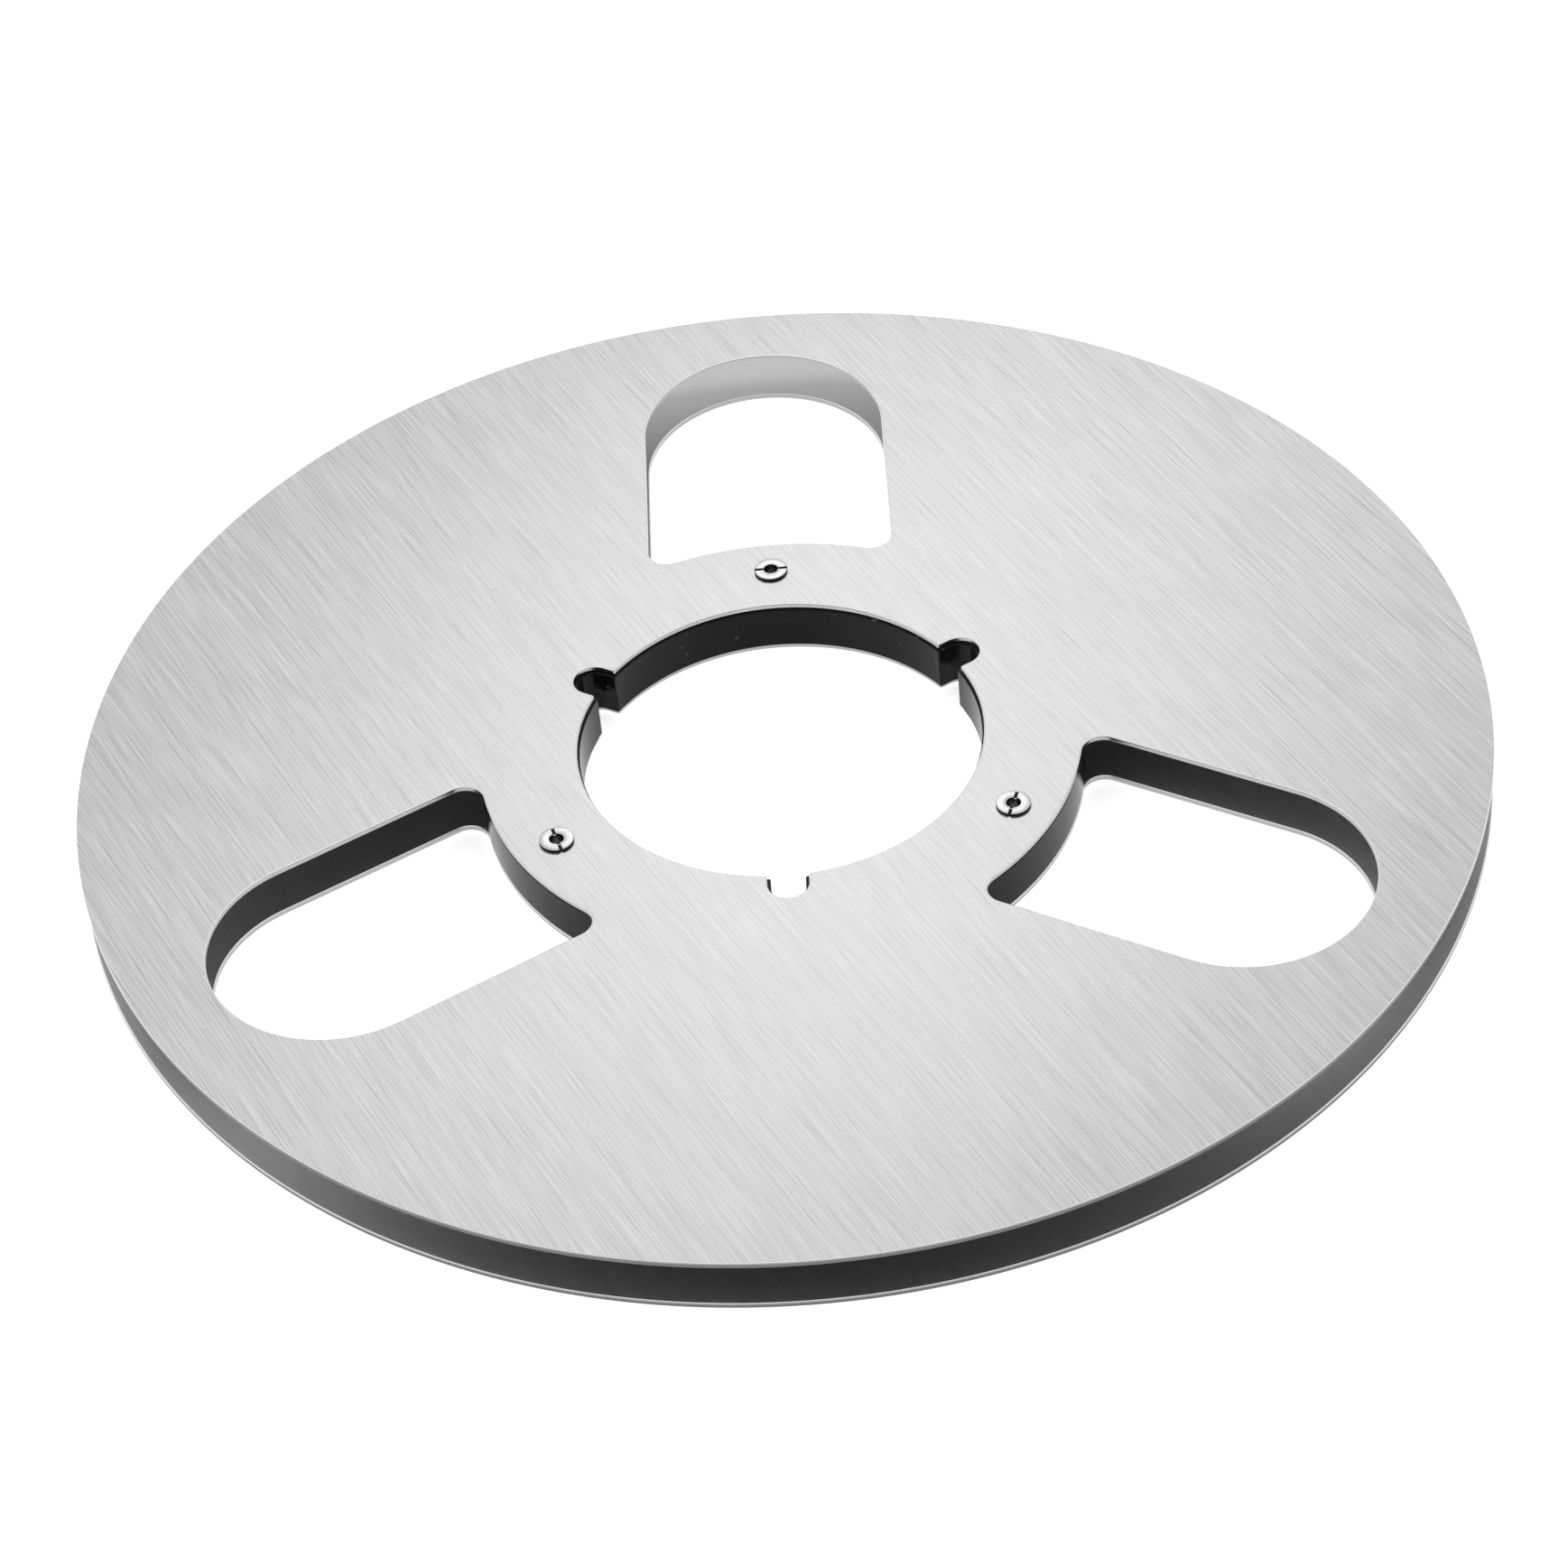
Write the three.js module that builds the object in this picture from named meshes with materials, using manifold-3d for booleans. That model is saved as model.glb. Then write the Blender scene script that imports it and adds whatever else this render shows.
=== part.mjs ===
// Open reel for quarter-inch audio tape: two flat aluminium flanges clamped to a plastic hub by three
// pairs of slotted screws. Each upper screw is a tubular post that passes through the upper flange,
// the hub and the lower flange; the lower screw threads into the post and pulls the stack together.
//
// Millimetres, +Z up. The origin is on the reel's axis, in the plane of the lower screw heads, which
// is the plane that the reel rests on. One window of each flange is centred on +Y.

import * as THREE from 'three';
import { mergeVertices } from 'three/addons/utils/BufferGeometryUtils.js';
import Module from 'manifold-3d';

// ---- Driving dimensions ----

const FLANGE_RADIUS = 133.35;
const FLANGE_THICKNESS = 1.2;
const FLANGE_EDGE_BREAK = 0.3;
const FLANGE_BORE_RADIUS = 38.5;
const FLANGE_NOTCH_WIDTH = 7.7;
const FLANGE_NOTCH_REACH = 44.5;

const HUB_HEIGHT = 8.85;
const HUB_RADIUS = 57.15;
const HUB_BORE_RADIUS = 38.1;
const HUB_EDGE_BREAK = 0.2;
const HUB_NOTCH_WIDTH = 6.4;
const HUB_NOTCH_REACH = 43.85;

const WINDOW_WIDTH = 48.2;
const WINDOW_REACH = 119.2;
const WINDOW_CORNER_RADIUS = 4;

const SCREW_CIRCLE_RADIUS = 48.9;
const HEAD_RADIUS = 3.25;
const HEAD_HEIGHT = 0.6;
const HEAD_EDGE_BREAK = 0.12;
const SLOT_WIDTH = 0.6;
const SLOT_DEPTH = 0.4;
const POST_RADIUS = 2.1;
const POST_BORE_RADIUS = 1.35;
const SCREW_RADIUS = 1.25;
const SCREW_TIP_BREAK = 0.3;
const SCREW_TIP_DEPTH = 3;
const POST_HOLE_RADIUS = 2.25;
const POST_END_GAP = 0.3;

// Windows, bore notches and screw pairs each come three to a turn. The notches lie between windows.
const REPEATS = 3;
const FIRST_WINDOW_ANGLE = Math.PI / 2;
const REPEAT_ANGLE = (2 * Math.PI) / REPEATS;

// The screws were tightened to where they stopped, so each slot points its own way.
const POST_SLOT_DEGREES = [0, 106, 72];
const SCREW_SLOT_DEGREES = [35, 148, 80];

// How far a chord may stand off its arc, and how many sides the turned pieces have.
const CHORD_TOLERANCE = 0.03;
const TURNED_SIDES = 28;

// ---- Heights of the stack, from the resting plane up ----

const LOWER_FLANGE_Z = HEAD_HEIGHT;
const HUB_Z = LOWER_FLANGE_Z + FLANGE_THICKNESS;
const UPPER_FLANGE_Z = HUB_Z + HUB_HEIGHT;
const UPPER_HEAD_Z = UPPER_FLANGE_Z + FLANGE_THICKNESS;
const STACK_HEIGHT = UPPER_HEAD_Z - LOWER_FLANGE_Z;

// ---- Materials ----

const brushedAluminium = new THREE.MeshStandardMaterial({
  color: 0xd4d4d6,
  roughness: 0.32,
  metalness: 1.0,
});
const blackPlastic = new THREE.MeshStandardMaterial({
  color: 0x0b0b0c,
  roughness: 0.22,
  metalness: 0.0,
});
const platedSteel = new THREE.MeshStandardMaterial({
  color: 0xc9c8c4,
  roughness: 0.25,
  metalness: 1.0,
});

// ---- Outlines ----

// Points along a circular arc, both ends included, close enough together for CHORD_TOLERANCE.
function arcPoints(centre, radius, startAngle, endAngle) {
  const widestStep = 2 * Math.acos(1 - CHORD_TOLERANCE / radius);
  const steps = Math.ceil(Math.abs(endAngle - startAngle) / widestStep);
  const points = [];
  for (let i = 0; i <= steps; i += 1) {
    const angle = startAngle + ((endAngle - startAngle) * i) / steps;
    const offset = new THREE.Vector2(Math.cos(angle), Math.sin(angle)).multiplyScalar(radius);
    points.push(offset.add(centre));
  }
  return points;
}

// A full circle, drawn by quarters so that it reaches its radius on both axes.
function circlePoints(centre, radius) {
  const points = [];
  for (let quarter = 0; quarter < 4; quarter += 1) {
    const start = (quarter * Math.PI) / 2;
    points.push(...arcPoints(centre, radius, start, start + Math.PI / 2).slice(0, -1));
  }
  return points;
}

function polar(radius, angle) {
  return new THREE.Vector2(Math.cos(angle), Math.sin(angle)).multiplyScalar(radius);
}

// A flange window about the given angle: an inner edge that follows the hub, two parallel sides with
// rounded inner corners, and a half-round outer end. It is drawn about +Y and then turned.
function windowPoints(angle) {
  const halfWidth = WINDOW_WIDTH / 2;
  const archCentre = new THREE.Vector2(0, WINDOW_REACH - halfWidth);
  const cornerX = halfWidth - WINDOW_CORNER_RADIUS;
  const cornerY = Math.sqrt((HUB_RADIUS + WINDOW_CORNER_RADIUS) ** 2 - cornerX ** 2);
  const cornerAngle = Math.atan2(cornerX, cornerY);
  const upright = Math.PI / 2;

  const arch = arcPoints(archCentre, halfWidth, 0, Math.PI);
  const leftCorner = arcPoints(
    new THREE.Vector2(-cornerX, cornerY),
    WINDOW_CORNER_RADIUS,
    Math.PI,
    3 * upright + cornerAngle,
  );
  const innerEdge = arcPoints(
    new THREE.Vector2(),
    HUB_RADIUS,
    upright + cornerAngle,
    upright - cornerAngle,
  );
  const rightCorner = arcPoints(
    new THREE.Vector2(cornerX, cornerY),
    WINDOW_CORNER_RADIUS,
    3 * upright - cornerAngle,
    4 * upright,
  );
  const outline = [...arch, ...leftCorner, ...innerEdge.slice(1, -1), ...rightCorner];
  return outline.map((point) => point.rotateAround(new THREE.Vector2(), angle - upright));
}

// A round bore with three round-ended notches, each centred between two windows.
function notchedBorePoints(boreRadius, notchWidth, notchReach) {
  const halfWidth = notchWidth / 2;
  const halfAngle = Math.asin(halfWidth / boreRadius);
  const points = [];
  for (let i = 0; i < REPEATS; i += 1) {
    const angle = FIRST_WINDOW_ANGLE + (i + 0.5) * REPEAT_ANGLE;
    const notchCentre = polar(notchReach - halfWidth, angle);
    const boreEnd = angle + REPEAT_ANGLE - halfAngle;
    points.push(...arcPoints(notchCentre, halfWidth, angle - Math.PI / 2, angle + Math.PI / 2));
    points.push(...arcPoints(new THREE.Vector2(), boreRadius, angle + halfAngle, boreEnd));
  }
  return points;
}

function screwPlaces() {
  const places = [];
  for (let i = 0; i < REPEATS; i += 1) {
    places.push(polar(SCREW_CIRCLE_RADIUS, FIRST_WINDOW_ANGLE + i * REPEAT_ANGLE));
  }
  return places;
}

// ---- Plates: the flanges and the hub ----

// A flat plate with its edges broken all round, standing on z = 0.
function plateGeometry(outline, holes, height, edgeBreak) {
  const shape = new THREE.Shape(outline);
  shape.holes = holes.map((points) => new THREE.Path(points));
  const geometry = new THREE.ExtrudeGeometry(shape, {
    depth: height - 2 * edgeBreak,
    bevelThickness: edgeBreak,
    bevelSize: edgeBreak,
    bevelOffset: -edgeBreak,
    bevelSegments: 1,
  });
  geometry.translate(0, 0, edgeBreak);
  return geometry;
}

function postHoles() {
  return screwPlaces().map((place) => circlePoints(place, POST_HOLE_RADIUS));
}

function flangeGeometry() {
  const outline = circlePoints(new THREE.Vector2(), FLANGE_RADIUS);
  const bore = notchedBorePoints(FLANGE_BORE_RADIUS, FLANGE_NOTCH_WIDTH, FLANGE_NOTCH_REACH);
  const windows = [];
  for (let i = 0; i < REPEATS; i += 1) {
    windows.push(windowPoints(FIRST_WINDOW_ANGLE + i * REPEAT_ANGLE));
  }
  const holes = [bore, ...windows, ...postHoles()];
  return plateGeometry(outline, holes, FLANGE_THICKNESS, FLANGE_EDGE_BREAK);
}

function hubGeometry() {
  const outline = circlePoints(new THREE.Vector2(), HUB_RADIUS);
  const bore = notchedBorePoints(HUB_BORE_RADIUS, HUB_NOTCH_WIDTH, HUB_NOTCH_REACH);
  return plateGeometry(outline, [bore, ...postHoles()], HUB_HEIGHT, HUB_EDGE_BREAK);
}

// ---- Screws: turned bodies with a driver slot sawn across the head ----

const manifold = await Module();
manifold.setup();

function toSolid(geometry) {
  const bare = geometry.clone();
  bare.deleteAttribute('normal');
  bare.deleteAttribute('uv');
  const merged = mergeVertices(bare);
  const mesh = new manifold.Mesh({
    numProp: 3,
    vertProperties: new Float32Array(merged.attributes.position.array),
    triVerts: new Uint32Array(merged.index.array),
  });
  return new manifold.Manifold(mesh);
}

function fromSolid(solid) {
  const mesh = solid.getMesh();
  const geometry = new THREE.BufferGeometry();
  geometry.setAttribute('position', new THREE.BufferAttribute(mesh.vertProperties, 3));
  geometry.setIndex(new THREE.BufferAttribute(mesh.triVerts, 1));
  geometry.computeVertexNormals();
  return geometry;
}

// Turns a profile of [radius, height] points about +Z.
function turnedGeometry(profile) {
  const points = profile.map(([radius, height]) => new THREE.Vector2(radius, height));
  const geometry = new THREE.LatheGeometry(points, TURNED_SIDES);
  geometry.rotateX(Math.PI / 2);
  return geometry;
}

// Saws the driver slot across a head whose outer face is at z = HEAD_HEIGHT.
function slotted(body) {
  const saw = new THREE.BoxGeometry(4 * HEAD_RADIUS, SLOT_WIDTH, 2 * SLOT_DEPTH);
  saw.translate(0, 0, HEAD_HEIGHT);
  return fromSolid(toSolid(body).subtract(toSolid(saw)));
}

// The tubular post: a low cheese head above z = 0 and a bored barrel below it.
function postGeometry() {
  const barrelEnd = POST_END_GAP - STACK_HEIGHT;
  const profile = [
    [POST_BORE_RADIUS, barrelEnd],
    [POST_RADIUS, barrelEnd],
    [POST_RADIUS, 0],
    [HEAD_RADIUS, 0],
    [HEAD_RADIUS, HEAD_HEIGHT - HEAD_EDGE_BREAK],
    [HEAD_RADIUS - HEAD_EDGE_BREAK, HEAD_HEIGHT],
    [POST_BORE_RADIUS, HEAD_HEIGHT],
    [POST_BORE_RADIUS, barrelEnd],
  ];
  return slotted(turnedGeometry(profile));
}

// The clamping screw, drawn head up: its shank runs down from z = 0 into the post's bore.
function screwGeometry() {
  const shankEnd = SCREW_TIP_DEPTH - HEAD_HEIGHT - STACK_HEIGHT;
  const profile = [
    [0, shankEnd],
    [SCREW_RADIUS - SCREW_TIP_BREAK, shankEnd],
    [SCREW_RADIUS, shankEnd + SCREW_TIP_BREAK],
    [SCREW_RADIUS, 0],
    [HEAD_RADIUS, 0],
    [HEAD_RADIUS, HEAD_HEIGHT - HEAD_EDGE_BREAK],
    [HEAD_RADIUS - HEAD_EDGE_BREAK, HEAD_HEIGHT],
    [0, HEAD_HEIGHT],
  ];
  return slotted(turnedGeometry(profile));
}

// ---- Assembly ----

const reel = new THREE.Group();

function addPart(name, geometry, material, x, y, z) {
  const mesh = new THREE.Mesh(geometry, material);
  mesh.name = name;
  mesh.position.set(x, y, z);
  reel.add(mesh);
  return mesh;
}

addPart('lower_flange', flangeGeometry(), brushedAluminium, 0, 0, LOWER_FLANGE_Z);
addPart('hub', hubGeometry(), blackPlastic, 0, 0, HUB_Z);
addPart('upper_flange', flangeGeometry(), brushedAluminium, 0, 0, UPPER_FLANGE_Z);

screwPlaces().forEach((place, i) => {
  const number = i + 1;
  const { x, y } = place;
  const post = addPart(`screw_post_${number}`, postGeometry(), platedSteel, x, y, UPPER_HEAD_Z);
  post.rotation.z = THREE.MathUtils.degToRad(POST_SLOT_DEGREES[i]);

  const screw = addPart(`clamp_screw_${number}`, screwGeometry(), platedSteel, x, y, LOWER_FLANGE_Z);
  screw.rotation.set(Math.PI, 0, THREE.MathUtils.degToRad(SCREW_SLOT_DEGREES[i]));
});

export default reel;
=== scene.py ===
"""Looks of an open reel for quarter-inch audio tape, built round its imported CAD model.

Two brushed aluminium flanges, a glossy black hub and three pairs of slotted screws. Each CAD node is
replaced by a finer mesh of the same size. Lengths are in metres.
"""

import math

import bpy
import numpy as np
from mathutils import Matrix, Vector
from mathutils.geometry import delaunay_2d_cdt


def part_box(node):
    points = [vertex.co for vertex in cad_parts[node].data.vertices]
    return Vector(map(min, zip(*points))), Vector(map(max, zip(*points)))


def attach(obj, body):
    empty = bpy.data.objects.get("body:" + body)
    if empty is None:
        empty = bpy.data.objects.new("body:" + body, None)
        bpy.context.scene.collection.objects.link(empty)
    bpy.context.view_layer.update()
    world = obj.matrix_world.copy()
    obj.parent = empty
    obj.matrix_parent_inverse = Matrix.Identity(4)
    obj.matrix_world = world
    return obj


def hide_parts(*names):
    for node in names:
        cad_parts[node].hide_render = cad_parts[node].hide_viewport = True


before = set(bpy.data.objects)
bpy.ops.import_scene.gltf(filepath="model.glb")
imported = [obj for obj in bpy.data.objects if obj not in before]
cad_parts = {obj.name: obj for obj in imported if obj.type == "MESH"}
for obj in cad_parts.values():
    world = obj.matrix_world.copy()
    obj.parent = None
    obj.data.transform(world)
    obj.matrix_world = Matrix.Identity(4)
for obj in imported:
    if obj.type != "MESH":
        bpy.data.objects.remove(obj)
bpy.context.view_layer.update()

MM = 0.001
TURN = 2 * math.pi
QUARTER = TURN / 4
BODY = "root"
SURFACE_UV = "surface"


# ---- Sizes ----

def height_range(node):
    low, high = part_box(node)
    return low.z, high.z


LOWER_Z = height_range("lower_flange")
HUB_Z = height_range("hub")
UPPER_Z = height_range("upper_flange")

FLANGE_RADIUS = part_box("upper_flange")[1].x
FLANGE_EDGE = 0.32 * MM
FLANGE_EDGE_STEPS = 6
FLANGE_BORE_RADIUS = 38.5 * MM
FLANGE_NOTCH_WIDTH = 7.7 * MM
FLANGE_NOTCH_REACH = 44.5 * MM
FLANGE_CORNER = 0.45 * MM

HUB_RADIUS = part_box("hub")[1].x
HUB_EDGE = 0.2 * MM
HUB_EDGE_STEPS = 4
HUB_BORE_RADIUS = 38.1 * MM
HUB_NOTCH_WIDTH = 6.4 * MM
HUB_NOTCH_REACH = 43.85 * MM
HUB_CORNER = 0.35 * MM

# The moulding gate's scar on the bore: rows of (radius, height above the wall), with sunk roots.
GATE_ANGLE = math.radians(91)
GATE_Z = 6.4 * MM
GATE_SIDES = 28
GATE_RING = (
    (0.95 * MM, -0.03 * MM),
    (0.90 * MM, 0.06 * MM),
    (0.78 * MM, 0.06 * MM),
    (0.73 * MM, -0.03 * MM),
)
GATE_DOT = (
    (0.26 * MM, -0.03 * MM),
    (0.20 * MM, 0.07 * MM),
    (0.06 * MM, 0.09 * MM),
    (0.05 * MM, -0.03 * MM),
)

WINDOW_WIDTH = 48.2 * MM
WINDOW_REACH = 119.2 * MM
WINDOW_CORNER = 4.0 * MM

REPEATS = 3
REPEAT_ANGLE = TURN / REPEATS
FIRST_WINDOW = QUARTER
NOTCH_OFFSET = REPEAT_ANGLE / 2

# Screws. The reel stands on its lower heads. Heights are from the underside of the piece's own head.
SCREW_CIRCLE = 48.9 * MM
CLAMPED_HEIGHT = UPPER_Z[1] - LOWER_Z[0]
HEAD_RADIUS = 3.25 * MM
HEAD_HEIGHT = LOWER_Z[0]
HEAD_EDGE = 0.14 * MM
SLOT_WIDTH = 0.6 * MM
SLOT_DEPTH = 0.4 * MM
SLOT_FLARE = 0.05 * MM
POST_RADIUS = 2.1 * MM
POST_HOLE_RADIUS = 2.25 * MM
POST_BORE_RADIUS = 1.35 * MM
POST_EDGE = 0.15 * MM
POST_END = 0.3 * MM - CLAMPED_HEIGHT  # just clear of the lower head
PLAIN_BORE_END = -2.6 * MM
SCREW_RADIUS = 1.25 * MM
SCREW_TIP = 3.0 * MM - HEAD_HEIGHT - CLAMPED_HEIGHT  # down inside the post, 3 mm below its face
SCREW_TAPER = ((0.3 * MM, 0), (0.1 * MM, 0.25 * MM))  # inwards from the shank, up from the tip
SCREW_THREAD = (SCREW_TIP + 0.3 * MM, -0.4 * MM)
THREAD_PITCH = 0.45 * MM
THREAD_DEPTH = 0.22 * MM
POST_SLOT_DEGREES = (0, 106, 72)
SCREW_SLOT_DEGREES = (35, 148, 80)

# Fineness of the meshes.
CHORD_TOLERANCE = 0.004 * MM
LONGEST_STEP = 2.5 * MM
SHORTEST_STEP = 1e-7
CAP_CELL = 6.0 * MM
CAP_CLEARANCE = 0.45 * CAP_CELL
MERGE_DISTANCE = 1e-9
SCREW_SIDES = 72
CORNER_STEPS = 4
THREAD_ROWS_PER_PITCH = 6
SHARP_ANGLE = math.radians(28)

# The brushing's direction, anticlockwise from +X.
GRAIN = math.radians(117.1)


# ---- Camera, floor and light ----

CAMERA_DISTANCE = 0.88823
CAMERA_ELEVATION = math.radians(41.910)
CAMERA_TURN = math.radians(1.64)
CAMERA_ROLL = math.radians(-5.654)
CAMERA_AIM = Vector((-0.13, -1.31, 0.6)) * MM
CAMERA_LENS_MM = 107.18
CAMERA_CLIP = (0.01, 50)
SENSOR_MM = 36

# The room is bright behind the reel, darker behind the camera and brightest overhead. Each row is light
# that changes with one part of the direction: its axis, the span it changes over, its two strengths.
SKY = (
    ("Y", -0.70, -0.15, 0.42, 0.76),
    ("Z", 0.80, 1.0, 0.0, 0.35),
)
# The floor glows a little, as a light table does, so the shadows in the openings stay faint.
FLOOR_GLOW = 0.62
FLOOR_RADIUS = 6.0
FLOOR_SIDES = 96
# Soft lights: name, place, width and power.
LIGHTS = (
    ("softbox", (-0.03, 1.62, 1.48), 0.6, 1.0),
)


def new_object(name, points, faces):
    mesh = bpy.data.meshes.new(name)
    mesh.from_pydata([tuple(p) for p in points], [], faces)
    thing = bpy.data.objects.new(name, mesh)
    bpy.context.scene.collection.objects.link(thing)
    return thing


def add_camera():
    data = bpy.data.cameras.new("camera")
    data.lens = CAMERA_LENS_MM
    data.sensor_width = SENSOR_MM
    data.clip_start, data.clip_end = CAMERA_CLIP
    camera = bpy.data.objects.new("camera", data)
    bpy.context.scene.collection.objects.link(camera)
    level = CAMERA_DISTANCE * math.cos(CAMERA_ELEVATION)
    place = Vector((
        level * math.sin(CAMERA_TURN),
        -level * math.cos(CAMERA_TURN),
        CAMERA_DISTANCE * math.sin(CAMERA_ELEVATION) + LOWER_Z[0],
    ))
    forward = (CAMERA_AIM - place).normalized()
    right = forward.cross(Vector((0, 0, 1))).normalized()
    up = right.cross(forward)
    rolled_right = math.cos(CAMERA_ROLL) * right + math.sin(CAMERA_ROLL) * up
    rolled_up = math.cos(CAMERA_ROLL) * up - math.sin(CAMERA_ROLL) * right
    turn = Matrix((rolled_right, rolled_up, -forward)).transposed()
    camera.matrix_world = Matrix.Translation(place) @ turn.to_4x4()
    bpy.context.scene.camera = camera


def add_area_light(name, place, size, power):
    data = bpy.data.lights.new(name, "AREA")
    data.shape = "DISK"
    data.size = size
    data.energy = power
    light = bpy.data.objects.new(name, data)
    bpy.context.scene.collection.objects.link(light)
    light.location = place
    light.rotation_euler = (-Vector(place)).to_track_quat("-Z", "Y").to_euler()


def add_sky():
    world = bpy.data.worlds.new("studio")
    bpy.context.scene.world = world
    world.use_nodes = True
    tree = world.node_tree
    direction = tree.nodes.new("ShaderNodeTexCoord")
    axes = tree.nodes.new("ShaderNodeSeparateXYZ")
    tree.links.new(direction.outputs["Generated"], axes.inputs["Vector"])
    total = tree.nodes.new("ShaderNodeMath")
    for index, (axis, low, high, dark, bright) in enumerate(SKY):
        ramp = tree.nodes.new("ShaderNodeMapRange")
        ramp.interpolation_type = "SMOOTHSTEP"
        tree.links.new(axes.outputs[axis], ramp.inputs["Value"])
        ramp.inputs["From Min"].default_value = low
        ramp.inputs["From Max"].default_value = high
        ramp.inputs["To Min"].default_value = dark
        ramp.inputs["To Max"].default_value = bright
        tree.links.new(ramp.outputs["Result"], total.inputs[index])
    background = tree.nodes["Background"]
    background.inputs["Color"].default_value = (1, 1, 1, 1)
    tree.links.new(total.outputs["Value"], background.inputs["Strength"])


def add_floor():
    angles = [TURN * i / FLOOR_SIDES for i in range(FLOOR_SIDES)]
    ring = [(FLOOR_RADIUS * math.cos(a), FLOOR_RADIUS * math.sin(a), 0) for a in angles]
    floor = new_object("floor", ring, [tuple(range(FLOOR_SIDES))])
    material = bpy.data.materials.new("floor")
    material.use_nodes = True
    shader = material.node_tree.nodes["Principled BSDF"]
    shader.inputs["Base Color"].default_value = (0.97, 0.97, 0.97, 1)
    shader.inputs["Roughness"].default_value = 0.7
    shader.inputs["Emission Color"].default_value = (1, 1, 1, 1)
    shader.inputs["Emission Strength"].default_value = FLOOR_GLOW
    floor.data.materials.append(material)


# ---- Outlines: closed rows of (x, y, normal x, normal y), the normal pointing out of the metal ----

def arc(centre, radius, start, end, outwards):
    """Points along an arc, both ends included. The metal lies inside the arc when outwards is 1."""
    widest = 2 * math.acos(1 - CHORD_TOLERANCE / radius)
    steps = max(2, math.ceil(abs(end - start) / widest))
    angle = np.linspace(start, end, steps + 1)
    radial = np.stack([np.cos(angle), np.sin(angle)], 1)
    return np.hstack([np.asarray(centre) + radius * radial, outwards * radial])


def turned(rows, angle):
    turn = np.array([[math.cos(angle), -math.sin(angle)], [math.sin(angle), math.cos(angle)]])
    return np.hstack([rows[:, :2] @ turn.T, rows[:, 2:] @ turn.T])


def joined(parts):
    """One closed outline from its arcs, with extra points along the straight stretches."""
    rows = np.vstack(parts)
    following = np.roll(rows, -1, axis=0)
    outline = []
    for row, nearby in zip(rows, following):
        length = np.hypot(*(nearby[:2] - row[:2]))
        if length < SHORTEST_STEP:
            continue
        steps = math.ceil(length / LONGEST_STEP)
        outline.extend(row + (nearby - row) * k / steps for k in range(steps))
    return np.array(outline)


def circle(centre, radius, outwards):
    return joined([arc(centre, radius, 0, TURN, outwards)])


def window(angle):
    """A window's outline: an arch outside, and a foot that follows the hub's wall between round corners."""
    half = WINDOW_WIDTH / 2
    corner_x = half - WINDOW_CORNER
    corner_y = math.sqrt((HUB_RADIUS + WINDOW_CORNER) ** 2 - corner_x ** 2)
    lean = math.atan2(corner_x, corner_y)
    parts = [
        arc((0, WINDOW_REACH - half), half, 0, 2 * QUARTER, -1),
        arc((-corner_x, corner_y), WINDOW_CORNER, 2 * QUARTER, 3 * QUARTER + lean, -1),
        arc((0, 0), HUB_RADIUS, QUARTER + lean, QUARTER - lean, 1),
        arc((corner_x, corner_y), WINDOW_CORNER, 3 * QUARTER - lean, TURN, -1),
    ]
    return turned(joined(parts), angle - QUARTER)


def notched_bore(radius, notch_width, reach, corner):
    """The bore with its notches, drawn anticlockwise. Each notch mouth has small round corners."""
    half = notch_width / 2
    corner_y = half + corner
    corner_x = math.sqrt((radius + corner) ** 2 - corner_y ** 2)
    lean = math.atan2(corner_y, corner_x)
    parts = []
    for i in range(REPEATS):
        angle = FIRST_WINDOW + NOTCH_OFFSET + i * REPEAT_ANGLE
        notch = [
            arc((corner_x, -corner_y), corner, 2 * QUARTER - lean, QUARTER, 1),
            arc((reach - half, 0), half, -QUARTER, QUARTER, -1),
            arc((corner_x, corner_y), corner, -QUARTER, lean - 2 * QUARTER, 1),
        ]
        parts.extend(turned(part, angle) for part in notch)
        parts.append(arc((0, 0), radius, angle + lean, angle + REPEAT_ANGLE - lean, -1))
    return joined(parts)


def screw_places():
    angles = [FIRST_WINDOW + i * REPEAT_ANGLE for i in range(REPEATS)]
    return [(SCREW_CIRCLE * math.cos(a), SCREW_CIRCLE * math.sin(a)) for a in angles]


# ---- Plates ----

def inside(points, outline):
    """Which points lie within a closed outline."""
    x, y = points[:, :1], points[:, 1:]
    ax, ay = outline[:, 0], outline[:, 1]
    bx, by = np.roll(ax, -1), np.roll(ay, -1)
    crosses = (ay > y) != (by > y)
    with np.errstate(divide="ignore", invalid="ignore"):
        at = ax + (y - ay) * (bx - ax) / (by - ay)
    return (crosses & (x < at)).sum(1) % 2 == 1


def in_metal(points, loops):
    """Which points lie inside the first loop and outside all the others."""
    metal = inside(points, loops[0])
    for hole in loops[1:]:
        metal &= ~inside(points, hole)
    return metal


def edge_profile(low, high, edge, steps):
    """Rows of (inset, z, normal outwards, normal up), from the lower face round to the upper."""
    rows = []
    for face, side in ((low, -1), (high, 1)):
        for k in range(steps + 1):
            tilt = QUARTER * (k / steps if side > 0 else k / steps - 1)
            inset = edge * (1 - math.cos(tilt))
            rows.append((inset, face + edge * (math.sin(tilt) - side), math.cos(tilt), math.sin(tilt)))
    return rows


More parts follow.
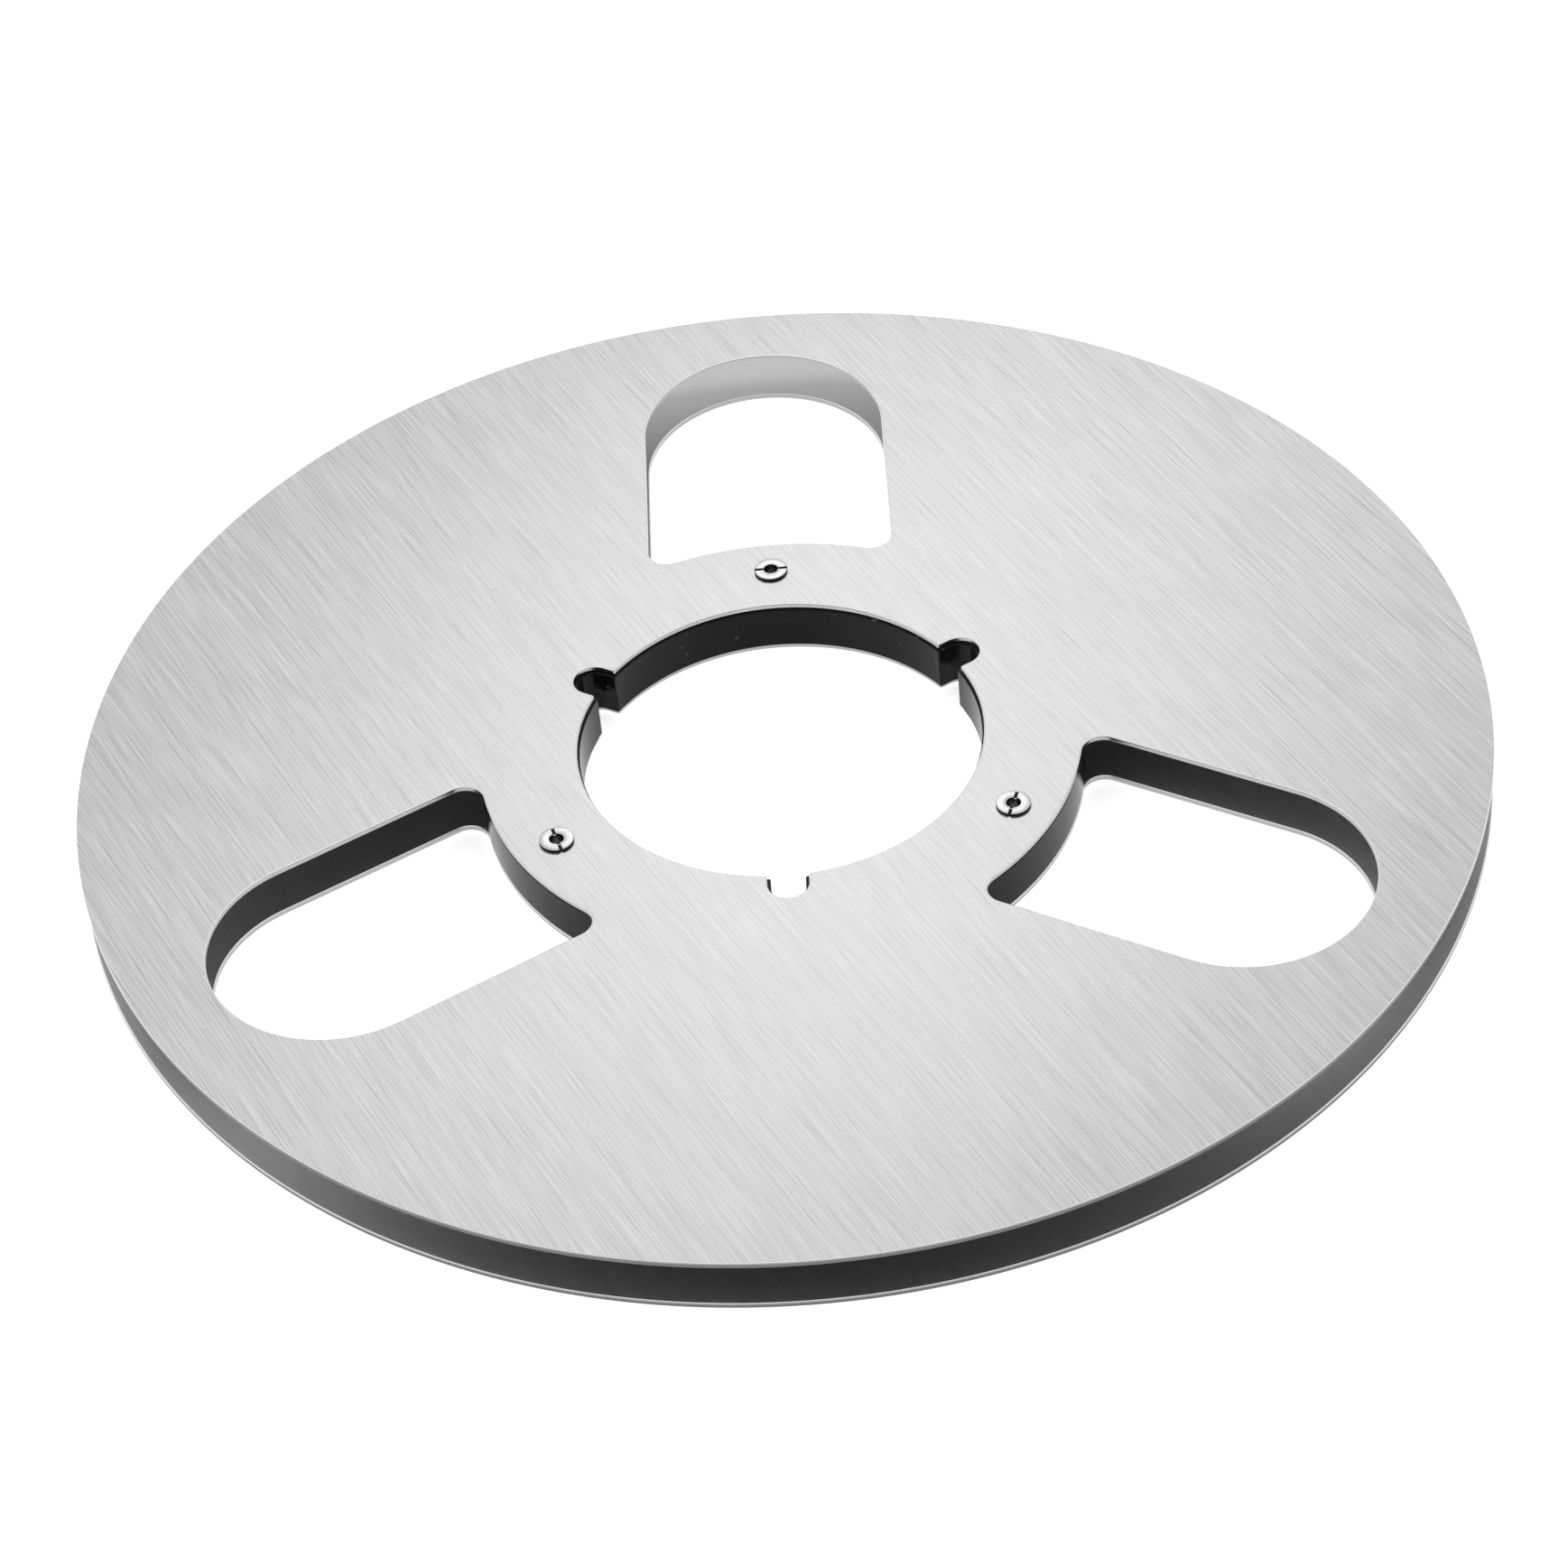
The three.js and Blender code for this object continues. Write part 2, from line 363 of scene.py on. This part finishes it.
def edge_band(loop, profile, first):
    """Points, normals, faces and uvs of the band round one loop. first is the number of its first point."""
    count = len(loop)
    lengths = np.hypot(*(np.roll(loop, -1, axis=0) - loop)[:, :2].T)
    along = np.concatenate([[0], np.cumsum(lengths)])
    points, normals, faces, uvs = [], [], [], []
    for inset, z, outward, upward in profile:
        flat = loop[:, :2] - loop[:, 2:] * inset
        points.extend(np.column_stack([flat, np.full(count, z)]))
        normals.extend(np.column_stack([loop[:, 2:] * outward, np.full(count, upward)]))
    for row in range(len(profile) - 1):
        below = first + row * count
        above = below + count
        low, high = profile[row][1], profile[row + 1][1]
        for i in range(count):
            j = (i + 1) % count
            faces.append((below + i, below + j, above + j, above + i))
            left, right = along[i], along[i + 1]
            uvs.extend([(left, low), (right, low), (right, high), (left, high)])
    return points, normals, faces, uvs


def cap_points(loops):
    """A triangular grid of points inside the plate, clear of its edges."""
    reach = np.abs(loops[0][:, :2]).max()
    across = np.arange(-reach, reach, CAP_CELL)
    up = np.arange(-reach, reach, CAP_CELL * math.sqrt(3) / 2)
    rows = [
        np.stack([across + (i % 2) * CAP_CELL / 2, np.full(len(across), y)], 1)
        for i, y in enumerate(up)
    ]
    points = np.vstack(rows)
    points = points[in_metal(points, loops)]
    edges = np.vstack([loop[:, :2] for loop in loops])
    gap = np.array([np.hypot(*(edges - p).T).min() for p in points])
    return points[gap > CAP_CLEARANCE]


def cap_triangles(rings, inner):
    """Triangles that fill a face. Their corners are numbered ring by ring, then through inner."""
    spots = np.vstack([*rings, inner])
    fence = []
    start = 0
    for ring in rings:
        count = len(ring)
        fence.extend((start + i, start + (i + 1) % count) for i in range(count))
        start += count
    within_fences = 1
    flat = [Vector(spot) for spot in spots]
    _, _, faces, sources, _, _ = delaunay_2d_cdt(flat, fence, [], within_fences, MERGE_DISTANCE)
    triangles = np.array([[sources[i][0] for i in face] for face in faces])
    return triangles[in_metal(spots[triangles].mean(1), rings)].tolist()


def grain_uv(point):
    """A spot on a flat face, measured across and along the grain."""
    x, y = point[:2]
    return y * math.cos(GRAIN) - x * math.sin(GRAIN), x * math.cos(GRAIN) + y * math.sin(GRAIN)


def corner_normals(spots, sides):
    """Each spot's normal, as the mean of its faces' normals."""
    normals = np.zeros((len(spots), 3))
    for side in sides:
        a, b, c = (spots[side[k]] for k in (0, 1, 2))
        normals[list(side)] += np.cross(b - a, c - a)
    return normals / np.linalg.norm(normals, axis=1, keepdims=True)


def plate(name, outer, holes, z_range, edge, steps, detail=None):
    """A flat plate with round-broken edges. outer and holes run anticlockwise.

    detail is a raised mark that stands on the plate: its points and its faces.
    """
    loops = [outer] + [hole[::-1] for hole in holes]
    profile = edge_profile(*z_range, edge, steps)
    points, normals, faces, uvs = [], [], [], []
    rings, low_corners, high_corners = [], [], []
    for loop in loops:
        count = len(loop)
        first = len(points)
        for rows, more in zip((points, normals, faces, uvs), edge_band(loop, profile, first)):
            rows.extend(more)
        last = len(points) - count
        rings.append(np.array(points[last:])[:, :2])
        low_corners.extend(range(first, first + count))
        high_corners.extend(range(last, last + count))

    inner = cap_points(loops)
    for z, upward, corners in ((z_range[0], -1, low_corners), (z_range[1], 1, high_corners)):
        corners.extend(range(len(points), len(points) + len(inner)))
        points.extend((x, y, z) for x, y in inner)
        normals.extend((0, 0, upward) for _ in inner)
    for a, b, c in cap_triangles(rings, inner):
        for numbers, order in ((high_corners, (a, b, c)), (low_corners, (c, b, a))):
            corners = tuple(numbers[i] for i in order)
            faces.append(corners)
            uvs.extend(grain_uv(points[corner]) for corner in corners)

    if detail is not None:
        spots, sides = detail
        faces.extend(tuple(len(points) + i for i in side) for side in sides)
        uvs.extend((spots[i][0], spots[i][2]) for side in sides for i in side)
        points.extend(spots)
        normals.extend(corner_normals(spots, sides))

    piece = new_object(name, points, faces)
    mesh = piece.data
    layer = mesh.uv_layers.new(name=SURFACE_UV)
    layer.data.foreach_set("uv", np.array(uvs, np.float32).ravel())
    mesh.polygons.foreach_set("use_smooth", [True] * len(mesh.polygons))
    mesh.normals_split_custom_set_from_vertices([tuple(n) for n in normals])
    mesh.validate()
    return piece


def flange(name, z_range):
    outer = circle((0, 0), FLANGE_RADIUS, 1)
    bore = notched_bore(FLANGE_BORE_RADIUS, FLANGE_NOTCH_WIDTH, FLANGE_NOTCH_REACH, FLANGE_CORNER)
    windows = [window(FIRST_WINDOW + i * REPEAT_ANGLE) for i in range(REPEATS)]
    screw_holes = [circle(place, POST_HOLE_RADIUS, -1) for place in screw_places()]
    holes = [bore, *windows, *screw_holes]
    return plate(name, outer, holes, z_range, FLANGE_EDGE, FLANGE_EDGE_STEPS)


def gate_mark():
    """The gate's scar on the hub's bore, a low ring round a dot: its points and its faces."""
    points, faces = [], []
    for profile in GATE_RING, GATE_DOT:
        first = len(points)
        rows = len(profile)
        for size, height in profile:
            for k in range(GATE_SIDES):
                around = TURN * k / GATE_SIDES
                angle = GATE_ANGLE + size * math.cos(around) / HUB_BORE_RADIUS
                radius = HUB_BORE_RADIUS - height
                z = GATE_Z + size * math.sin(around)
                points.append((radius * math.cos(angle), radius * math.sin(angle), z))
        for row in range(rows):
            below = first + row * GATE_SIDES
            above = first + (row + 1) % rows * GATE_SIDES
            for k in range(GATE_SIDES):
                following = (k + 1) % GATE_SIDES
                faces.append((below + following, below + k, above + k, above + following))
    return np.array(points), faces


def hub(name, z_range):
    outer = circle((0, 0), HUB_RADIUS, 1)
    bore = notched_bore(HUB_BORE_RADIUS, HUB_NOTCH_WIDTH, HUB_NOTCH_REACH, HUB_CORNER)
    screw_holes = [circle(place, POST_HOLE_RADIUS, -1) for place in screw_places()]
    return plate(name, outer, [bore, *screw_holes], z_range, HUB_EDGE, HUB_EDGE_STEPS, gate_mark())


# ---- Screws ----

def rounded_corner(radius, z, turn_in, turn_up, size):
    """Profile rows that round a corner, from its side wall to its end face."""
    centre_r = radius + turn_in * size
    centre_z = z + turn_up * size
    angles = [QUARTER * k / CORNER_STEPS for k in range(CORNER_STEPS + 1)]
    return [
        (centre_r - turn_in * size * math.cos(a), centre_z - turn_up * size * math.sin(a), 0)
        for a in angles
    ]


def thread_rows(radius, z_from, z_to):
    """Profile rows along a thread, which fades out over its first and last turns."""
    count = max(2, round(abs(z_to - z_from) / THREAD_PITCH * THREAD_ROWS_PER_PITCH))
    rows = []
    for k in range(count + 1):
        z = z_from + (z_to - z_from) * k / count
        strength = min(1, abs(z - z_from) / THREAD_PITCH, abs(z_to - z) / THREAD_PITCH)
        rows.append((radius, z, strength))
    return rows


def turned_piece(name, profile, closed):
    """Turns profile rows of (radius, z, thread strength) about Z. A closed profile makes a tube."""
    angle = np.arange(SCREW_SIDES) * TURN / SCREW_SIDES
    points = []
    for radius, z, strength in profile:
        phase = z / THREAD_PITCH - angle / TURN
        groove = np.abs(2 * (phase - np.floor(phase)) - 1)
        r = radius - THREAD_DEPTH * strength * groove
        heights = np.full(SCREW_SIDES, z)
        points.extend(np.column_stack([r * np.cos(angle), r * np.sin(angle), heights]))
    faces = []
    rows = len(profile)
    for row in range(rows if closed else rows - 1):
        below = row * SCREW_SIDES
        above = (row + 1) % rows * SCREW_SIDES
        for i in range(SCREW_SIDES):
            j = (i + 1) % SCREW_SIDES
            faces.append((below + i, below + j, above + j, above + i))
    if not closed:
        faces.append(tuple(reversed(range(SCREW_SIDES))))
        faces.append(tuple(range((rows - 1) * SCREW_SIDES, rows * SCREW_SIDES)))
    return new_object(name, points, faces)


def slot_cutter():
    """A bar with a flared mouth, which leaves a slot with broken edges in a head's face."""
    half = SLOT_WIDTH / 2
    top = HEAD_HEIGHT
    section = [
        (-half + SLOT_FLARE, top - SLOT_DEPTH),
        (half - SLOT_FLARE, top - SLOT_DEPTH),
        (half, top - SLOT_DEPTH + SLOT_FLARE),
        (half, top - SLOT_FLARE),
        (half + 4 * SLOT_FLARE, top + 3 * SLOT_FLARE),
        (-half - 4 * SLOT_FLARE, top + 3 * SLOT_FLARE),
        (-half, top - SLOT_FLARE),
        (-half, top - SLOT_DEPTH + SLOT_FLARE),
    ]
    reach = 2 * HEAD_RADIUS
    count = len(section)
    points = [(x, y, z) for x in (-reach, reach) for y, z in section]
    faces = [tuple(reversed(range(count))), tuple(range(count, 2 * count))]
    for i in range(count):
        j = (i + 1) % count
        faces.append((i, j, count + j, count + i))
    return new_object("slot_cutter", points, faces)


def saw_slot(piece):
    """Cuts the slot into a head, and shades the piece smooth but for its sharp edges."""
    cutter = slot_cutter()
    cut = piece.modifiers.new("slot", "BOOLEAN")
    cut.operation = "DIFFERENCE"
    cut.solver = "EXACT"
    cut.object = cutter
    graph = bpy.context.evaluated_depsgraph_get()
    sawn = bpy.data.meshes.new_from_object(piece.evaluated_get(graph))
    piece.modifiers.remove(cut)
    old = piece.data
    name = old.name
    piece.data = sawn
    bpy.data.meshes.remove(old)
    sawn.name = name
    bpy.data.objects.remove(cutter)
    sawn.polygons.foreach_set("use_smooth", [True] * len(sawn.polygons))
    sawn.set_sharp_from_angle(angle=SHARP_ANGLE)


def post(name):
    """The tubular post, with its head's underside at z = 0 and its barrel below."""
    thread_radius = POST_BORE_RADIUS + THREAD_DEPTH / 2
    profile = [
        *rounded_corner(POST_RADIUS, POST_END, -1, 1, POST_EDGE)[::-1],
        (POST_RADIUS, 0, 0),
        (HEAD_RADIUS, 0, 0),
        *rounded_corner(HEAD_RADIUS, HEAD_HEIGHT, -1, -1, HEAD_EDGE),
        *rounded_corner(POST_BORE_RADIUS, HEAD_HEIGHT, 1, -1, POST_EDGE)[::-1],
        (POST_BORE_RADIUS, PLAIN_BORE_END, 0),
        *thread_rows(thread_radius, PLAIN_BORE_END, POST_END + POST_EDGE),
        *rounded_corner(POST_BORE_RADIUS, POST_END, 1, 1, POST_EDGE),
    ]
    piece = turned_piece(name, profile, closed=True)
    saw_slot(piece)
    return piece


def clamp_screw(name):
    """The clamping screw, drawn head up, with its shank running down from z = 0."""
    profile = [
        *((SCREW_RADIUS - inwards, SCREW_TIP + up, 0) for inwards, up in SCREW_TAPER),
        *thread_rows(SCREW_RADIUS, *SCREW_THREAD),
        (SCREW_RADIUS, 0, 0),
        (HEAD_RADIUS, 0, 0),
        *rounded_corner(HEAD_RADIUS, HEAD_HEIGHT, -1, -1, HEAD_EDGE),
    ]
    piece = turned_piece(name, profile, closed=False)
    saw_slot(piece)
    return piece


# ---- Materials ----

class Nodes:
    """Short calls for building a material's node tree. A value is a number or another node's output."""

    def __init__(self, name):
        self.material = bpy.data.materials.new(name)
        self.material.use_nodes = True
        self.tree = self.material.node_tree
        self.place = self.add("ShaderNodeTexCoord").outputs["Object"]

    def add(self, kind, inputs=None, **settings):
        node = self.tree.nodes.new(kind)
        for key, value in settings.items():
            setattr(node, key, value)
        for key, value in (inputs or {}).items():
            self.feed(node.inputs[key], value)
        return node

    def feed(self, socket, value):
        if isinstance(value, bpy.types.NodeSocket):
            self.tree.links.new(value, socket)
        else:
            socket.default_value = value

    def finish(self, inputs):
        shader = self.tree.nodes["Principled BSDF"]
        for key, value in inputs.items():
            self.feed(shader.inputs[key], value)
        return self.material

    def math(self, operation, a, b=0.0):
        return self.add("ShaderNodeMath", {0: a, 1: b}, operation=operation).outputs[0]

    def total(self, base, *terms):
        """base plus each term, a value and its weight."""
        for value, weight in terms:
            inputs = {0: value, 1: weight, 2: base}
            base = self.add("ShaderNodeMath", inputs, operation="MULTIPLY_ADD").outputs[0]
        return base

    def ramp(self, value, low, high, to_low=0.0, to_high=1.0):
        inputs = {"Value": value, "From Min": low, "From Max": high}
        inputs |= {"To Min": to_low, "To Max": to_high}
        return self.add("ShaderNodeMapRange", inputs).outputs["Result"]

    def noise(self, scale, detail, vector=None):
        inputs = {"Vector": vector or self.place, "Scale": scale, "Detail": detail}
        return self.add("ShaderNodeTexNoise", inputs).outputs["Fac"]

    def mapped(self, vector, rotation=(0, 0, 0), scale=(1, 1, 1), location=(0, 0, 0)):
        inputs = {"Vector": vector, "Rotation": rotation, "Scale": scale, "Location": location}
        return self.add("ShaderNodeMapping", inputs, vector_type="POINT").outputs["Vector"]

    def mix(self, factor, a, b):
        node = self.add("ShaderNodeMix", {"Factor": factor}, data_type="FLOAT")
        self.feed(node.inputs[2], a)
        self.feed(node.inputs[3], b)
        return node.outputs[0]

    def grey(self, value):
        channels = {"Red": value, "Green": value, "Blue": value}
        return self.add("ShaderNodeCombineColor", channels).outputs[0]

    def bump(self, height, strength, distance):
        inputs = {"Height": height, "Strength": strength, "Distance": distance}
        return self.add("ShaderNodeBump", inputs).outputs["Normal"]

    def radius_and_z(self):
        """The distance from the piece's own Z axis, and the height along it."""
        parts = self.add("ShaderNodeSeparateXYZ", {"Vector": self.place})
        x, y, z = (parts.outputs[axis] for axis in "XYZ")
        squares = self.math("ADD", self.math("MULTIPLY", x, x), self.math("MULTIPLY", y, y))
        return self.math("SQRT", squares), z

    def levelness(self):
        """From 0 on a wall to 1 on a level face, whichever way up."""
        normal = self.add("ShaderNodeNewGeometry").outputs["Normal"]
        upright = self.add("ShaderNodeSeparateXYZ", {"Vector": normal}).outputs["Z"]
        return self.math("ABSOLUTE", upright)


def brushed_aluminium(name):
    nodes = Nodes(name)

    def streaks(length, width, lean_degrees, shift):
        turn = math.radians(lean_degrees) - GRAIN
        aligned = nodes.mapped(nodes.place, rotation=(0, 0, turn))
        stretched = nodes.mapped(aligned, scale=(1 / length, 1 / width, 1 / width), location=shift)
        return nodes.noise(1, 0, stretched)

    hair = streaks(13 * MM, 0.085 * MM, 0, (3, 5, 7))
    lines = streaks(9 * MM, 0.15 * MM, 0.5, (11, 2, 5))
    scratches = streaks(17 * MM, 0.16 * MM, -0.6, (6, 1, 3))
    clouds = nodes.noise(14, 2)
    fine = nodes.math("SUBTRACT", hair, 0.5)
    middling = nodes.math("SUBTRACT", lines, 0.5)
    soft = nodes.math("SUBTRACT", clouds, 0.5)
    deep = nodes.ramp(scratches, 0.36, 0.22)
    shine = nodes.ramp(scratches, 0.66, 0.80)

    # Where on the flange: its rim, the two faces on the reel's outside, flat faces, rounded edges.
    radius, z = nodes.radius_and_z()
    rim = nodes.ramp(radius, FLANGE_RADIUS - 1.0 * MM, FLANGE_RADIUS - 0.6 * MM)
    middle = (LOWER_Z[0] + UPPER_Z[1]) / 2
    half = CLAMPED_HEIGHT / 2
    from_middle = nodes.math("ABSOLUTE", nodes.math("SUBTRACT", z, middle))
    outside = nodes.ramp(from_middle, half - 0.8 * MM, half - 0.4 * MM)
    levelness = nodes.levelness()
    face = nodes.ramp(levelness, 0.9, 0.995)
    corner = nodes.ramp(levelness, 0.15, 0.6)

    # The brushing is strongest on the outside. The cut walls are painted dark as shade, darkest on the rim,
    # and their rounded edges painted bright as a highlight.
    grain = nodes.total(0, (fine, 0.52), (middling, 0.08), (soft, 0.02), (deep, -0.07), (shine, 0.06))
    # The faces between the flanges get a slightly darker tone than the outside ones, as painted shade.
    tone = nodes.total(nodes.mix(outside, 0.60, 0.63), (grain, nodes.mix(outside, 0.3, 1)))
    # Painted shade on the cut walls, darkest on the rim, and a painted highlight on their rounded edges.
    cut = nodes.mix(corner, nodes.mix(rim, 0.42, 0.16), nodes.mix(rim, 1.0, 0.9))
    rough = nodes.total(nodes.mix(outside, 0.42, 0.30), (fine, 0.2))
    relief = nodes.math("MULTIPLY", face, nodes.mix(outside, 0.08, 0.35))
    tangent = nodes.add("ShaderNodeTangent", direction_type="UV_MAP", uv_map=SURFACE_UV)
    return nodes.finish({
        "Base Color": nodes.grey(nodes.mix(face, cut, tone)),
        "Roughness": nodes.mix(face, 0.22, rough),
        "Anisotropic": 0.6,
        "Metallic": 1,
        "Tangent": tangent.outputs["Tangent"],
        "Normal": nodes.bump(nodes.math("ADD", hair, lines), relief, 0.006 * MM),
    })


def black_plastic(name):
    """Glossy moulded plastic: faint draw lines, slow changes of gloss, and a few specks of dust."""
    nodes = Nodes(name)
    grainy = nodes.noise(2600, 2)
    patchy = nodes.noise(90, 3)
    drawn = nodes.noise(1, 2, nodes.mapped(nodes.place, scale=(900, 900, 60)))
    broad = nodes.noise(34, 1, nodes.mapped(nodes.place, location=(0.3, 0.1, 0)))
    specks = nodes.ramp(nodes.noise(900, 0), 0.80, 0.84)

    haze = nodes.ramp(broad, 0.42, 0.66, 0.002, 0.010)
    gloss = nodes.ramp(broad, 0.4, 0.6, 0.02, 0.14)
    relief = nodes.total(0, (grainy, 0.5), (drawn, 0.5))
    return nodes.finish({
        "Base Color": nodes.grey(nodes.total(haze, (patchy, 0.003), (specks, 0.05))),
        "Roughness": nodes.total(gloss, (patchy, 0.08), (grainy, 0.04)),
        "Specular IOR Level": 0.125,
        "Normal": nodes.bump(relief, 0.12, 0.01 * MM),
    })


def plated_steel(name):
    """Bright plating with turning rings, with painted shade: darker down in the slot and bore, and on its
    side walls.
    """
    nodes = Nodes(name)
    radius, z = nodes.radius_and_z()
    ring_pitch = 0.36 * MM
    rings = nodes.math("SINE", nodes.math("MULTIPLY", radius, TURN / ring_pitch))
    scuffs = nodes.noise(1500, 3)

    # Where on the screw: walls, the slot's floor, and the bore's wall apart from the others.
    wall = nodes.ramp(nodes.levelness(), 0.3, 0.6, 1, 0)
    sunk = nodes.ramp(z, HEAD_HEIGHT - 0.11 * MM, HEAD_HEIGHT - 0.05 * MM, 1, 0)
    beyond_bore = nodes.ramp(radius, POST_BORE_RADIUS + 0.1 * MM, POST_BORE_RADIUS + 0.2 * MM)
    floor = nodes.math("MULTIPLY", sunk, beyond_bore)
    painted_shade_wall = nodes.math("MULTIPLY", wall, beyond_bore)
    bore_wall = nodes.math("SUBTRACT", wall, painted_shade_wall)

    # Painted shade: the side walls and the slot's floor are near black, and the bore's wall is darker.
    clean = nodes.total(0.46, (scuffs, 0.30), (rings, -0.05))
    tone = nodes.mix(floor, nodes.mix(bore_wall, clean, 0.35), 0.03)
    rough = nodes.total(nodes.mix(wall, 0.14, 0.04), (scuffs, 0.14))
    relief = nodes.total(0, (rings, 0.5), (scuffs, 0.5))
    return nodes.finish({
        "Base Color": nodes.grey(nodes.mix(painted_shade_wall, tone, 0.03)),
        "Roughness": nodes.mix(floor, rough, 0.5),
        "Metallic": 1,
        "Normal": nodes.bump(relief, nodes.mix(wall, 0.3, 0), 0.01 * MM),
    })


# ---- Assembly ----

def install(piece, material, node):
    piece.data.materials.clear()
    piece.data.materials.append(material)
    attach(piece, BODY)
    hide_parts(node)


bpy.context.scene.view_settings.view_transform = "Standard"
add_camera()
add_sky()
for light in LIGHTS:
    add_area_light(*light)
add_floor()

aluminium = brushed_aluminium("brushed_aluminium")
plastic = black_plastic("black_plastic")
steel = plated_steel("plated_steel")

install(flange("lower_flange_fine", LOWER_Z), aluminium, "lower_flange")
install(flange("upper_flange_fine", UPPER_Z), aluminium, "upper_flange")
install(hub("hub_fine", HUB_Z), plastic, "hub")

for index, (x, y) in enumerate(screw_places()):
    number = index + 1
    upper = post(f"screw_post_{number}_fine")
    upper.location = (x, y, UPPER_Z[1])
    upper.rotation_euler.z = math.radians(POST_SLOT_DEGREES[index])
    install(upper, steel, f"screw_post_{number}")

    lower = clamp_screw(f"clamp_screw_{number}_fine")
    lower.location = (x, y, LOWER_Z[0])
    lower.rotation_euler = (math.pi, 0, -math.radians(SCREW_SLOT_DEGREES[index]))
    install(lower, steel, f"clamp_screw_{number}")
